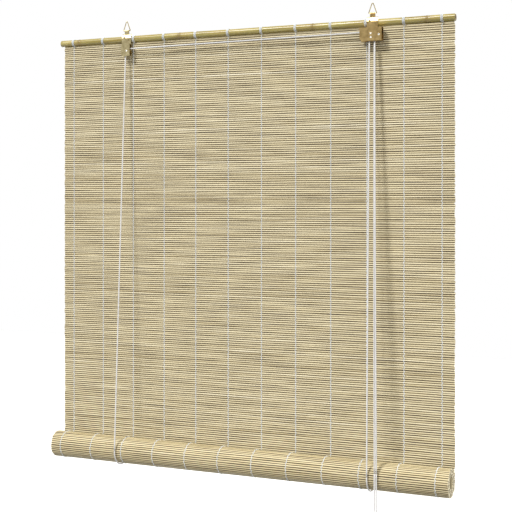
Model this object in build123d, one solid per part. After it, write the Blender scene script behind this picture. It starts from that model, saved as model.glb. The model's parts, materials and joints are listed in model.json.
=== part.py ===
from build123d import *
import os
from math import asin, atan, atan2, cos, degrees, floor, hypot, pi, radians, sin, sqrt

# Bamboo roll up blind, half raised. Millimetres, +Z up, the front faces -Y.
# The origin is midway between the inside tops of the two rings that the blind hangs by.

# mat: thin bamboo slats across the blind, bound by warp threads in front of and behind them
mat_width = 800.0
mat_y = 5.0                  # the mat's middle plane, behind the rings
slat_pitch = 3.9
slat_height = 3.4
slat_thickness = 2.0
slat_corner = 0.5
warp_lines = 12
warp_overhang = 23.0         # from the mat's edge to its outermost warp line
warp_width = 1.6
warp_thickness = 0.7
warp_gap = 0.1
mat_to_pole_gap = 0.2

# head pole: a length of cane, with a wrap of thread at each warp line
pole_diameter = 13.5
pole_z = -33.4
pole_past_left = 6.0
pole_past_right = 0.5
ring_mark_height = 0.5       # how far the cane swells at its growth rings
ring_mark_length = 7.0
ring_mark_bays = [(0, 0.2), (3, 0.5), (7, 0.5), (10, 0.6)]   # bay between warp lines, share along it
wrap_width = 4.0
wrap_thickness = 0.7
wrap_gap = 0.1
wrap_to_strap = 0.5

# rolled part of the mat
roll_z = -833.0
roll_radius = 25.3           # middle of the outermost turn
layer_pitch = 2.3
layer_thickness = 1.9
core_radius = 10.0           # the least room left in the middle of the roll
steps_per_turn = 36
mat_to_roll_gap = 0.3
lath_height = 17.4
lath_thickness = 4.5
lath_gap = 0.3               # between the lath's lower back corner and the innermost turn

# rings
bracket_spacing = 504.0
wire_diameter = 1.6
ring_half_base = 7.6
ring_sharp_height = 20.8
ring_apex_radius = 1.6
ring_corner_radius = 1.0
wire_join_gap = 0.4

# brackets: strap, tongue and curled eye, folded from one sheet with the housing
sheet = 0.8
strap_width = 20.5
tongue_width = 10.0
eye_width = 8.8
eye_clearance = 0.1
strap_to_pole = 0.1
shoulder_below_eye = 6.6
strap_bend_radius = 5.0
strap_flat_above_pole = 2.0  # the strap is upright to this height above the pole's middle
strap_into_housing = 1.0
tongue_bend_below_shoulder = 1.0
eye_neck = 0.3               # the tongue narrows this far below the eye

pulley_housing_width = 19.0
pulley_housing_depth = 8.0
pulley_housing_top = -43.5
pulley_housing_bottom = -67.2
pulley_housing_right = 1.8   # its middle is this far right of the strap's
pulley_housing_corner = 4.0

lock_housing_width = 41.0
lock_housing_depth = 11.0
lock_housing_top = -43.2
lock_housing_bottom = -67.8
lock_housing_corner = 4.5
lock_panel_from_left = 14.3
lock_panel_below_top = 2.8
lock_panel_margin = 1.0
lock_panel_height = 0.6

# rivets and nails
rivet_radius = 1.0
rivet_hole_clearance = 0.05
rivet_head_radius = 2.1
rivet_crown_radius = 1.15
rivet_head_height = 1.1
rivet_tail_radius = 1.7
rivet_tail_height = 0.5
sleeve_gap = 0.2             # between the anvil's sleeve and the plates
nail_radius = 0.7
nail_head_radius = 1.4
nail_head_height = 0.6
nail_length = 8.0
nail_clearance = 0.02
nail_hole_spare = 0.5        # a nail's hole is this much deeper than the nail
nail_lean_gap = 0.1          # under the head of a nail where the strap leans back
nail_places = [(-5.0, 3.4), (5.2, -1.4)]     # across the strap, above the pole's middle

# cords
cord_diameter = 2.6
cord_gap = 0.3
cord_side_gap = 0.4          # between the two cords where they run side by side in the lock
join_gap = 0.3
left_cord_forward = 4.0      # from the brackets' backs to the left cord
cross_z = -50.8              # of the cords over the lock's roller
cross_left_z = -53.2         # of the left cord as it leaves its wheel
loop_x = [-251.5, 256.5]     # where the left and the right cord go round the roll
head_cord_lift = 0.6         # the stretches in the head end this far above the lock's lower edge
back_run_below_mat = 16.0    # the back runs end this far below the mat's top
end_straight = 6.0
end_rise = 17.0
end_radii = [8.0, 5.0]

# pulley and lock works
wheel_right = 1.9            # its axle is this far right of the housing's middle
wheel_pitch_radius = 3.8
wheel_flange_radius = 4.8
wheel_width = 5.0
bore_clearance = 0.06
roller_pitch_radius = 3.2
roller_arc_slack = 0.2       # the cords' arcs over the roller are this much smaller
roller_from_left = 20.2
anvil_from_left = 20.7
anvil_below_top = 17.7
anvil_radius = 2.1
cam_from_left = 35.4
cam_below_top = 13.3
cam_boss_radius = 3.4
cam_teeth = 5
cam_tooth_depth = 0.9
cam_teeth_span = 26.0        # degrees
cam_shoulder_angle = 62.0    # degrees either side of the teeth's middle
works_side_gap = 0.4         # between the lock's works and its plates
exit_from_left = 26.2

# pull cords, their hank and knot
pull_x = 272.4
pull_meet_height = 9.0       # above the roll's middle, where the pull cords turn straight down
cord_cross_shift = 0.8       # the two cords stand this much closer at the lock, and wider at the roll
hank_top = -899.0
hank_height = 69.0
hank_width = 30.0
hank_depth = 17.0
hank_corner = 4.0
tie_height = 7.0
tie_thickness = 1.3
tie_clearance = 0.2
tail_length = 26.0
knot_size = 8.0
knot_depth = 6.0
knot_corner = 1.5
knot_radius = 3.0            # of the knots at the cords' upper ends
knot_thickness = 3.8

cut_past = 2.0               # how far a cut runs past the face that it opens

# worked out from the sizes above
half_mat = mat_width / 2
pole_radius = pole_diameter / 2
cord_radius = cord_diameter / 2
wire_radius = wire_diameter / 2
roll_y = mat_y - roll_radius
roll_turns = floor((roll_radius - core_radius) / layer_pitch - 0.5) + 0.5    # its inner end is in front
loop_radius = roll_radius + layer_thickness / 2 + cord_gap + cord_radius
warp_pitch = (mat_width - 2 * warp_overhang) / (warp_lines - 1)
warp_x = [warp_overhang - half_mat + warp_pitch * i for i in range(warp_lines)]
left_x = -bracket_spacing / 2
right_x = bracket_spacing / 2
strap_back_y = mat_y - pole_radius - strap_to_pole
strap_y = strap_back_y - sheet / 2
half_apex = atan(ring_half_base / ring_sharp_height)
ring_arc_top = ring_sharp_height - ring_apex_radius * (1 / sin(half_apex) - 1)
eye_z = wire_radius - ring_arc_top
eye_bore = wire_radius + eye_clearance
lock_left = right_x - lock_housing_width / 2
mat_top = pole_z - pole_radius - max(ring_mark_height, wrap_gap + wrap_thickness) - mat_to_pole_gap
mat_bottom = roll_z + mat_to_roll_gap
right_cord_forward = left_cord_forward + cord_diameter + cord_side_gap
cord_depths = [strap_back_y - left_cord_forward, strap_back_y - right_cord_forward]
exit_spacing = cord_diameter - cord_cross_shift
pull_spacing = cord_diameter + cord_cross_shift
pull_y = roll_y - loop_radius - cord_gap
run_bottom = lock_housing_bottom + head_cord_lift

os.makedirs("parts", exist_ok=True)
nodes = {}


def keep(name, *solids):
    """Collect the solids of one node."""
    found = [s for shape in solids for s in shape.solids()]
    nodes[name] = found[0] if len(found) == 1 else Compound(children=found)


def block(low, high):
    """A box from its lowest to its highest corner."""
    size = [b - a for a, b in zip(low, high)]
    middle = [(a + b) / 2 for a, b in zip(low, high)]
    return Pos(*middle) * Box(*size)


def along_y(x, z, radius, y_front, y_back):
    """A round bar along Y."""
    middle = (y_front + y_back) / 2
    return Pos(x, middle, z) * Rot(90, 0, 0) * Cylinder(radius, abs(y_back - y_front))


def tube(path, diameter):
    """A round section swept along a path, with flat ends."""
    section = Plane(origin=path @ 0, z_dir=path % 0) * Circle(diameter / 2)
    return sweep(section, path=path)


def straight_cord(start, end):
    """A tight stretch of cord between two points."""
    return tube(Line(start, end), cord_diameter)


def report_cord(name, solid, length, radii):
    """Print a cord's arc radii, and its volume against its section times its length."""
    expected = pi * cord_radius ** 2 * length
    rounded = [round(r, 1) for r in radii]
    print(f"{name}: length {length:.1f}, radii {rounded}, volume ratio {solid.volume / expected:.4f}")


# ---- mat ----

def slat_section():
    """A slat's section: a flat stick with its corners taken off."""
    shape = Rectangle(slat_thickness, slat_height)
    return chamfer(shape.vertices(), slat_corner)


def hanging_slats():
    """The flat part of the mat, slat by slat."""
    usable = mat_top - mat_bottom
    count = int((usable - slat_height) / slat_pitch) + 1
    spread = (usable - slat_height) / (count - 1)
    slat = extrude(Plane.YZ * slat_section(), mat_width / 2, both=True)
    first = mat_top - slat_height / 2
    return [Pos(0, mat_y, first - spread * i) * slat for i in range(count)]


def hanging_threads():
    """Each warp line has one strand in front of the slats and one behind."""
    near = slat_thickness / 2 + warp_gap
    far = near + warp_thickness
    second_turn = roll_radius - layer_pitch + layer_thickness / 2
    strand_reach = mat_y - far - mat_to_roll_gap - roll_y
    rise = sqrt(max(second_turn ** 2 - strand_reach ** 2, 0))   # the front strands stop above the roll
    strands = []
    for x in warp_x:
        for side, bottom in ((-1, mat_bottom + rise), (1, mat_bottom)):
            ys = sorted([mat_y + side * near, mat_y + side * far])
            low = (x - warp_width / 2, ys[0], bottom)
            high = (x + warp_width / 2, ys[1], mat_top)
            strands.append(block(low, high))
    return strands


def rolled_mat():
    """The rolled part as one ribbon, wound inwards from the back, under and up the front."""
    outer = []
    inner = []
    for i in range(int(roll_turns * steps_per_turn) + 1):
        turn = i / steps_per_turn
        angle = 2 * pi * turn
        middle = roll_radius - layer_pitch * turn
        for side, line in ((1, outer), (-1, inner)):
            radius = middle + side * layer_thickness / 2
            line.append((roll_y + radius * cos(angle), roll_z - radius * sin(angle)))
    outline = Polyline(*outer, *reversed(inner), close=True)
    return extrude(Plane.YZ * make_face(outline), mat_width / 2, both=True)


def bottom_lath():
    """The flat strip that the mat's lower end is bound to, in the middle of the roll."""
    last_turn = roll_radius - layer_pitch * (roll_turns - 0.25) - layer_thickness / 2
    half = lath_height / 2
    y = roll_y + sqrt((last_turn - lath_gap) ** 2 - half ** 2) - lath_thickness / 2
    low = (-half_mat, y - lath_thickness / 2, roll_z - half)
    high = (half_mat, y + lath_thickness / 2, roll_z + half)
    return block(low, high)


# ---- head pole ----

def head_pole():
    """A cane with slight swellings at its growth rings, bored for the bracket nails."""
    left = -half_mat - pole_past_left
    right = half_mat + pole_past_right
    points = [(left, 0), (left, pole_radius)]
    for bay, share in ring_mark_bays:
        x = warp_x[bay] + share * warp_pitch
        half = ring_mark_length / 2
        points += [(x - half, pole_radius), (x - half / 3, pole_radius + ring_mark_height)]
        points += [(x + half / 3, pole_radius + ring_mark_height), (x + half, pole_radius)]
    points += [(right, pole_radius), (right, 0)]
    cane = revolve(make_face(Polyline(*points, close=True)), axis=Axis.X)
    cane = Pos(0, mat_y, pole_z) * cane
    for x, z in nail_points() + tack_points():
        front = strap_back_y - cut_past
        cane -= along_y(x, z, nail_radius + nail_clearance, front, strap_back_y + nail_length)
    for x, z in tack_points():
        back = mat_y + pole_radius
        cane -= along_y(x, z, nail_radius + nail_clearance, back + cut_past, back - nail_length)
    return cane


def thread_wraps():
    """The warp threads' turns round the pole, left out where a strap covers the pole."""
    rings = []
    inside = pole_radius + wrap_gap
    for x in warp_x:
        nearest = min(abs(x - left_x), abs(x - right_x))
        if nearest < (strap_width + wrap_width) / 2 + wrap_to_strap:
            continue
        ring = Cylinder(inside + wrap_thickness, wrap_width) - Cylinder(inside, wrap_width)
        rings.append(Pos(x, mat_y, pole_z) * Rot(0, 90, 0) * ring)
    return rings


# ---- rings and brackets ----

def hanging_ring(x):
    """A triangular ring of round wire, its ends meeting inside the bracket's eye."""
    base = ring_half_base
    points = [
        (x + wire_join_gap / 2, 0, eye_z),
        (x + base, 0, eye_z),
        (x, 0, eye_z + ring_sharp_height),
        (x - base, 0, eye_z),
        (x - wire_join_gap / 2, 0, eye_z),
    ]
    radii = [ring_corner_radius, ring_apex_radius, ring_corner_radius]
    return tube(FilletPolyline(*points, radius=radii), wire_diameter)


def strap(x, housing_top):
    """The strap over the front of the pole, its tongue, and the eye curled round the ring's wire."""
    eye_radius = eye_bore + sheet
    shoulder = eye_z - shoulder_below_eye
    points = [
        (x, strap_y, housing_top - strap_into_housing),
        (x, strap_y, pole_z + strap_flat_above_pole),
        (x, 0, shoulder - tongue_bend_below_shoulder),
        (x, 0, eye_z - eye_bore - sheet / 2),
    ]
    path = FilletPolyline(*points, radius=strap_bend_radius)
    section = Plane(origin=path @ 0, x_dir=(1, 0, 0), z_dir=path % 0) * Rectangle(strap_width, sheet)
    body = sweep(section, path=path)
    narrowings = [(tongue_width, shoulder), (eye_width, eye_z - eye_radius - eye_neck)]
    for width, bottom in narrowings:
        for side in (-1, 1):
            xs = sorted([x + side * width / 2, x + side * strap_width])
            body -= block((xs[0], -strap_width, bottom), (xs[1], strap_width, eye_z))
    curl = Cylinder(eye_radius, eye_width) - Cylinder(eye_bore, eye_width)
    body += Pos(x, 0, eye_z) * Rot(0, 90, 0) * curl
    body -= Pos(x, 0, eye_z) * Rot(0, 90, 0) * Cylinder(eye_bore, strap_width)
    for dx, dz in nail_places:
        front = strap_back_y - sheet - cut_past
        body -= along_y(x + dx, pole_z + dz, nail_radius + nail_clearance, front, mat_y)
    return body


def folded_housing(x, width, depth, top, bottom, trim, corner):
    """An upside-down channel, open at both sides and below; its front's lower left corner is trimmed."""
    back = strap_back_y
    front = back - depth
    body = block((x - width / 2, back - sheet, bottom), (x + width / 2, back, top))
    body += block((x - width / 2, front, top - sheet), (x + width / 2, back, top))
    plate = Rectangle(width, top - bottom)
    lower_left = plate.vertices().sort_by(Axis.Y)[:2].sort_by(Axis.X)[0]
    plate = extrude(Plane.XZ * trim(lower_left, corner), sheet)
    body += Pos(x, front + sheet, (top + bottom) / 2) * plate
    return body


def rivet_holes(body, points, depth):
    """Bore both plates of a housing for its rivets."""
    for x, z in points:
        hole = rivet_radius + rivet_hole_clearance
        body -= along_y(x, z, hole, strap_back_y - depth - cut_past, strap_back_y + cut_past)
    return body


def pulley_bracket():
    """Left bracket: strap, eye and the housing of the pulley wheel."""
    top = pulley_housing_top
    bottom = pulley_housing_bottom
    corner = pulley_housing_corner
    x = left_x + pulley_housing_right
    body = folded_housing(x, pulley_housing_width, pulley_housing_depth, top, bottom, fillet, corner)
    body += strap(left_x, top)
    return rivet_holes(body, [wheel_point()], pulley_housing_depth)


def lock_bracket():
    """Right bracket: strap, eye and the housing of the cord lock, with a raised panel in front."""
    top = lock_housing_top
    bottom = lock_housing_bottom
    corner = lock_housing_corner
    body = folded_housing(right_x, lock_housing_width, lock_housing_depth, top, bottom, chamfer, corner)
    front = strap_back_y - lock_housing_depth
    low = (lock_left + lock_panel_from_left, front - lock_panel_height, bottom + lock_panel_margin)
    right = lock_left + lock_housing_width
    high = (right - lock_panel_margin, front + sheet / 2, top - lock_panel_below_top)
    body += block(low, high)
    body += strap(right_x, top)
    return rivet_holes(body, [roller_point(), anvil_point(), cam_point()], lock_housing_depth)


# ---- places of the works, in X and Z ----

def wheel_point():
    return (left_x + pulley_housing_right + wheel_right, cross_left_z - wheel_pitch_radius)


def roller_point():
    return (lock_left + roller_from_left, cross_z - roller_pitch_radius)


def anvil_point():
    return (lock_left + anvil_from_left, lock_housing_top - anvil_below_top)


def cam_point():
    return (lock_left + cam_from_left, lock_housing_top - cam_below_top)


def exit_x():
    """Where the left and the right pull cord leave the lock."""
    middle = lock_left + exit_from_left
    return [middle - exit_spacing / 2, middle + exit_spacing / 2]


def nail_points():
    return [(x + dx, pole_z + dz) for x in (left_x, right_x) for dx, dz in nail_places]


def cord_x():
    """Where the left and the right lift cord leave the head."""
    return [wheel_point()[0] - wheel_pitch_radius, roller_point()[0] - roller_pitch_radius]


def tack_points():
    return [(x, pole_z) for x in loop_x]


# ---- rivets, nails and moving works ----

def rivet(point, depth, front_raised=0.0, sleeve=0.0):
    """A rivet through a housing, domed in front and flat behind, with an optional thick middle."""
    x, z = point
    front = strap_back_y - depth - front_raised
    back = strap_back_y
    body = along_y(x, z, rivet_radius, front, back)
    dome = Cone(rivet_head_radius, rivet_crown_radius, rivet_head_height)
    body += Pos(x, front - rivet_head_height / 2, z) * Rot(90, 0, 0) * dome
    body += along_y(x, z, rivet_tail_radius, back, back + rivet_tail_height)
    if sleeve:
        inside = strap_back_y - sheet - sleeve_gap
        body += along_y(x, z, sleeve, strap_back_y - depth + sheet + sleeve_gap, inside)
    return body


def bracket_nails(x):
    """The two nails that hold a strap to the pole."""
    nails = []
    for dx, dz in nail_places:
        face = strap_back_y - sheet
        if dz > strap_flat_above_pole:
            face -= nail_lean_gap
        point = strap_back_y + nail_length - nail_hole_spare
        shank = along_y(x + dx, pole_z + dz, nail_radius, face, point)
        head = along_y(x + dx, pole_z + dz, nail_head_radius, face - nail_head_height, face)
        nails.append(shank + head)
    return nails


def pulley_wheel():
    """A grooved wheel that turns on its rivet."""
    x, z = wheel_point()
    half = wheel_width / 2
    groove_half = cord_radius + cord_gap
    groove_radius = wheel_pitch_radius - cord_radius - cord_gap
    bore = rivet_radius + bore_clearance
    points = [
        (bore, -half),
        (wheel_flange_radius, -half),
        (wheel_flange_radius, -groove_half),
        (groove_radius, -groove_half),
        (groove_radius, groove_half),
        (wheel_flange_radius, groove_half),
        (wheel_flange_radius, half),
        (bore, half),
    ]
    body = revolve(make_face(Polyline(*points, close=True)), axis=Axis.Y)
    return Pos(x, cord_depths[0], z) * body


def works_span():
    """From front to back, the room for the roller and the cam between the lock's plates."""
    front = strap_back_y - lock_housing_depth + sheet + works_side_gap
    return front, strap_back_y - sheet - works_side_gap


def lock_roller():
    """A plain roller over which both cords pass in the lock."""
    x, z = roller_point()
    outer = roller_pitch_radius - cord_radius - cord_gap
    front, back = works_span()
    body = along_y(x, z, outer, front, back)
    return body - along_y(x, z, rivet_radius + bore_clearance, front - cut_past, back + cut_past)


def lock_cam():
    """A toothed cam that pinches the cords against the anvil; its pivot is right of them."""
    x, z = cam_point()
    reach_x = exit_x()[1] + cord_radius + cord_gap
    anvil_z = anvil_point()[1]
    reach = hypot(reach_x - x, anvil_z - z)
    middle = atan2(anvil_z - z, reach_x - x)
    spread = radians(cam_teeth_span)
    points = []
    for i in range(2 * cam_teeth + 1):
        angle = middle - spread / 2 + spread * i / (2 * cam_teeth)
        radius = reach - (cam_tooth_depth if i % 2 else 0)
        points.append((x + radius * cos(angle), z + radius * sin(angle)))
    shoulder = radians(cam_shoulder_angle)
    for turn in (shoulder, -shoulder):
        angle = middle + turn
        points.append((x + cam_boss_radius * cos(angle), z + cam_boss_radius * sin(angle)))
    outline = make_face(Polyline(*points, close=True))
    front, back = works_span()
    nose = Pos(0, back, 0) * extrude(Plane.XZ * outline, back - front)
    body = nose + along_y(x, z, cam_boss_radius, front, back)
    return body - along_y(x, z, rivet_radius + bore_clearance, front - cut_past, back + cut_past)


# ---- cords ----

def tangent_point():
    """Where a lift cord meets the front of the roll, and the angle there, seen along X."""
    start_y = cord_depths[0]
    start_z = lock_housing_bottom
    dy = start_y - roll_y
    dz = start_z - roll_z
    distance = hypot(dy, dz)
    towards = atan2(dz, dy)
    angle = towards + pi / 2 - asin(loop_radius / distance)
    return (roll_y + loop_radius * cos(angle), roll_z + loop_radius * sin(angle), angle)


def cord_uppers():
    """Each cord's stretch in the head: round the wheel or roller, through the lock and out below."""
    roller_x = roller_point()[0]
    over = roller_pitch_radius - roller_arc_slack
    down_x = roller_x + over
    left, right = cord_x()
    front = cord_depths
    left_points = [
        (left, front[0], run_bottom),
        (left, front[0], cross_left_z),
        (down_x, front[0], cross_z),
        (exit_x()[0], front[0], run_bottom),
    ]
    right_points = [
        (right, front[1], run_bottom),
        (right, front[1], cross_z),
        (down_x, front[1], cross_z),
        (exit_x()[1], front[1], run_bottom),
    ]
    jobs = [
        ("left_cord_in_head", left_points, [wheel_pitch_radius, over]),
        ("right_cord_in_head", right_points, [over, over]),
    ]
    for name, points, radii in jobs:
        path = FilletPolyline(*points, radius=radii)
        solid = tube(path, cord_diameter)
        report_cord(name, solid, path.length, radii)
        keep(name, solid)


def lift_runs():
    """The straight stretches in front of the mat and behind it, and the loops under the roll."""
    meet_y, meet_z, angle = tangent_point()
    back_y = roll_y + loop_radius
    names = ("left", "right")
    for name, top_x, x, front in zip(names, cord_x(), loop_x, cord_depths):
        start = Vector(top_x, front, run_bottom - join_gap)
        end = Vector(x, meet_y, meet_z)
        way = (end - start).normalized()
        keep(f"{name}_cord_front_run", straight_cord(start, end - way * join_gap))
        arc = CenterArc((roll_y, roll_z), loop_radius, degrees(angle), 360 - degrees(angle))
        loop = tube(Pos(x, 0, 0) * (Plane.YZ * arc), cord_diameter)
        report_cord(f"{name}_cord_loop", loop, loop_radius * (2 * pi - angle), [loop_radius])
        keep(f"{name}_cord_loop", loop)
        low = (x, back_y, roll_z + join_gap)
        keep(f"{name}_cord_back_run", straight_cord(low, (x, back_y, mat_top - back_run_below_mat)))


def cord_ends():
    """The cords' upper ends behind the mat, led to a tack in the back of the pole and knotted."""
    back_y = roll_y + loop_radius
    knot_y = mat_y + pole_radius + knot_thickness / 2 + cord_gap
    start_z = mat_top - back_run_below_mat + join_gap
    ends = []
    knots = []
    tacks = []
    for x, z in tack_points():
        points = [
            (x, back_y, start_z),
            (x, back_y, start_z + end_straight),
            (x, knot_y, start_z + end_rise),
            (x, knot_y, z - knot_radius - join_gap),
        ]
        path = FilletPolyline(*points, radius=end_radii)
        ends.append(tube(path, cord_diameter))
        knot = along_y(x, z, knot_radius, knot_y - knot_thickness / 2, knot_y + knot_thickness / 2)
        hole_half = knot_thickness / 2 + cut_past
        hole = along_y(x, z, nail_radius + nail_clearance, knot_y - hole_half, knot_y + hole_half)
        knots.append(knot - hole)
        inner_end = mat_y + pole_radius - nail_length + nail_hole_spare
        outside = knot_y + knot_thickness / 2
        shank = along_y(x, z, nail_radius, outside, inner_end)
        head = along_y(x, z, nail_head_radius, outside, outside + nail_head_height)
        tacks.append(shank + head)
    keep("cord_ends", *ends)
    keep("cord_end_knots", *knots)
    keep("cord_tacks", *tacks)


def pull_cords():
    """The two pull cords from the lock to the roll's front, and straight down to the hank."""
    meet_z = roll_z + pull_meet_height
    sides = zip(("left", "right"), (-1, 1), exit_x(), cord_depths)
    for name, side, leave_x, depth in sides:
        x = pull_x + side * pull_spacing / 2
        start = Vector(leave_x, depth, run_bottom - join_gap)
        end = Vector(x, pull_y, meet_z)
        way = (end - start).normalized()
        keep(f"{name}_pull_cord_upper", straight_cord(start, end - way * join_gap))
        low = (x, pull_y, hank_top + join_gap)
        keep(f"{name}_pull_cord_lower", straight_cord((x, pull_y, meet_z), low))


def hank():
    """The pull cords' spare length as a tied hank, with the cords' joined ends below it."""
    middle = hank_top - hank_height / 2
    body = Pos(pull_x, pull_y, middle) * Box(hank_width, hank_depth, hank_height)
    body = chamfer(body.edges().filter_by(Axis.Z), hank_corner)
    keep("cord_hank", body)
    inner_w = hank_width + 2 * tie_clearance
    inner_d = hank_depth + 2 * tie_clearance
    outer = Box(inner_w + 2 * tie_thickness, inner_d + 2 * tie_thickness, tie_height)
    inner = Box(inner_w, inner_d, tie_height)
    inner = chamfer(inner.edges().filter_by(Axis.Z), hank_corner)
    outer = chamfer(outer.edges().filter_by(Axis.Z), hank_corner)
    keep("hank_tie", Pos(pull_x, pull_y, middle) * (outer - inner))
    bottom = hank_top - hank_height
    tails = []
    for side in (-1, 1):
        x = pull_x + side * pull_spacing / 2
        tails.append(straight_cord((x, pull_y, bottom - join_gap), (x, pull_y, bottom - tail_length)))
    keep("pull_cord_tails", *tails)
    knot_z = bottom - tail_length - knot_size / 2 - join_gap
    knot = Pos(pull_x, pull_y, knot_z) * Box(knot_size, knot_depth, knot_size)
    keep("end_knot", chamfer(knot.edges(), knot_corner))


# ---- the model ----

keep("head_pole", head_pole())
keep("thread_wraps", *thread_wraps())
keep("hanging_slats", *hanging_slats())
keep("hanging_threads", *hanging_threads())
keep("rolled_mat", rolled_mat())
keep("bottom_lath", bottom_lath())
keep("left_ring", hanging_ring(left_x))
keep("right_ring", hanging_ring(right_x))
keep("pulley_bracket", pulley_bracket())
keep("lock_bracket", lock_bracket())
keep("pulley_bracket_nails", *bracket_nails(left_x))
keep("lock_bracket_nails", *bracket_nails(right_x))
keep("pulley_axle", rivet(wheel_point(), pulley_housing_depth))
keep("roller_rivet", rivet(roller_point(), lock_housing_depth, lock_panel_height))
keep("anvil_rivet", rivet(anvil_point(), lock_housing_depth, lock_panel_height, anvil_radius))
keep("cam_rivet", rivet(cam_point(), lock_housing_depth, lock_panel_height))
keep("pulley_wheel", pulley_wheel())
keep("lock_roller", lock_roller())
keep("lock_cam", lock_cam())
cord_uppers()
lift_runs()
cord_ends()
pull_cords()
hank()

for name, shape in nodes.items():
    export_step(shape, f"parts/{name}.step")
print(f"{len(nodes)} nodes, {sum(len(s.solids()) for s in nodes.values())} solids")
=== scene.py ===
import json
import math
import random

import bmesh
import bpy
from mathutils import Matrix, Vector


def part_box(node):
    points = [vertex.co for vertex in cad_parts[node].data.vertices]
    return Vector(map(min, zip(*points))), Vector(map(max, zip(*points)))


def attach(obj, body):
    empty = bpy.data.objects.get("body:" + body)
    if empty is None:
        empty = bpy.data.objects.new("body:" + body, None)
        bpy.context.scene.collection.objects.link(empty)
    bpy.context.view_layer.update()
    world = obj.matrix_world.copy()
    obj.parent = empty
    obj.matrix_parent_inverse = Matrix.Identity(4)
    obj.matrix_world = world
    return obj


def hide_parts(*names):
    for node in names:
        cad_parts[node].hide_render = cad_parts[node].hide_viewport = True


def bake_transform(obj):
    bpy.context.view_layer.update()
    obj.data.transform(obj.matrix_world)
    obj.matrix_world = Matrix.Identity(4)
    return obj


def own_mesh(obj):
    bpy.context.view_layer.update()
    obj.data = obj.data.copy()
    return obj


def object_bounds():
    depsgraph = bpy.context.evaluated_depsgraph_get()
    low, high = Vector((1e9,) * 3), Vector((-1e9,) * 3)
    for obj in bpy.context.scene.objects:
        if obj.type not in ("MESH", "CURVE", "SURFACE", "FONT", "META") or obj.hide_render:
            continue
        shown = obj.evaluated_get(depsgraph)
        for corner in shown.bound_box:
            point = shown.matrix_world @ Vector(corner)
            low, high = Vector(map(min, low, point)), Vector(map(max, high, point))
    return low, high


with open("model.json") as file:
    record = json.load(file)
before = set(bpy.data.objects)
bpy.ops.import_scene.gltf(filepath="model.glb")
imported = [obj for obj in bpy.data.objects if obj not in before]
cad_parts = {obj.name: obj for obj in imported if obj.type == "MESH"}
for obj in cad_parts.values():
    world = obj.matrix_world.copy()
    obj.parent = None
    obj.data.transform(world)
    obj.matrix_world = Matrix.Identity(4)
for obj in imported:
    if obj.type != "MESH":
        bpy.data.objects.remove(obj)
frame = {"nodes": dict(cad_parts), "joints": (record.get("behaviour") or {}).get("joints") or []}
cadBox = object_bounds()
mm = 0.001
joints = {j["name"]: j for j in frame["joints"]}


# camera, lights and floor

studio = {
    "cameraPlace": (0.873, -1.905, -0.3544),
    "cameraTurn": 24,  # degrees to the left of straight ahead
    "lens": 78.8,
    "shiftDown": -0.1035,
    "keyHeight": 46,  # degrees above the horizon
    "keyFromLeft": 28,  # degrees left of straight ahead
    "keyStrength": 3.0,
    "keySoftness": 14,  # degrees
    "sideHeight": 12,
    "sideFromRight": 68,
    "sideStrength": 1.1,
    "sideSoftness": 40,
    "backHeight": 38,
    "backFromLeft": 205,
    "backStrength": 1.8,
    "fillAbove": 0.75,  # the soft light from overhead, from the sides and from below
    "fillLevel": 0.5,
    "fillBelow": 0.12,
    "backdrop": "#ffffff",
    "floorDrop": 0.6,  # metres below the lowest knot
    "floorSize": 14.0,
}


def linear(hexText):
    # an sRGB hex value as linear red, green, blue and alpha
    parts = [int(hexText[i:i + 2], 16) / 255 for i in (1, 3, 5)]
    bent = [c / 12.92 if c <= 0.04045 else ((c + 0.055) / 1.055) ** 2.4 for c in parts]
    return (*bent, 1.0)


def addNode(tree, kind, settings=None, **links):
    # settings are attributes or sockets; a link is the socket's name, spaces as underscores, and what feeds it
    node = tree.nodes.new(kind)
    for key, value in (settings or {}).items():
        if isinstance(key, str) and hasattr(node, key):
            setattr(node, key, value)
        else:
            node.inputs[key].default_value = value
    for key, source in links.items():
        name = key.replace("_", " ")
        socket = node.inputs[int(name[5:])] if name.startswith("input") else node.inputs[name]
        tree.links.new(source, socket)
    return node


def makeCamera():
    data = bpy.data.cameras.new("camera")
    data.lens = studio["lens"]
    data.shift_y = studio["shiftDown"]
    camera = bpy.data.objects.new("camera", data)
    camera.location = studio["cameraPlace"]
    camera.rotation_euler = (math.radians(90), 0, math.radians(studio["cameraTurn"]))
    bpy.context.scene.collection.objects.link(camera)
    bpy.context.scene.camera = camera


def addSun(name, height, fromLeft, strength, softness):
    data = bpy.data.lights.new(name, "SUN")
    data.energy = strength
    data.angle = math.radians(softness)
    sun = bpy.data.objects.new(name, data)
    sun.rotation_euler = (math.radians(90 - height), 0, -math.radians(fromLeft))
    bpy.context.scene.collection.objects.link(sun)


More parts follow.
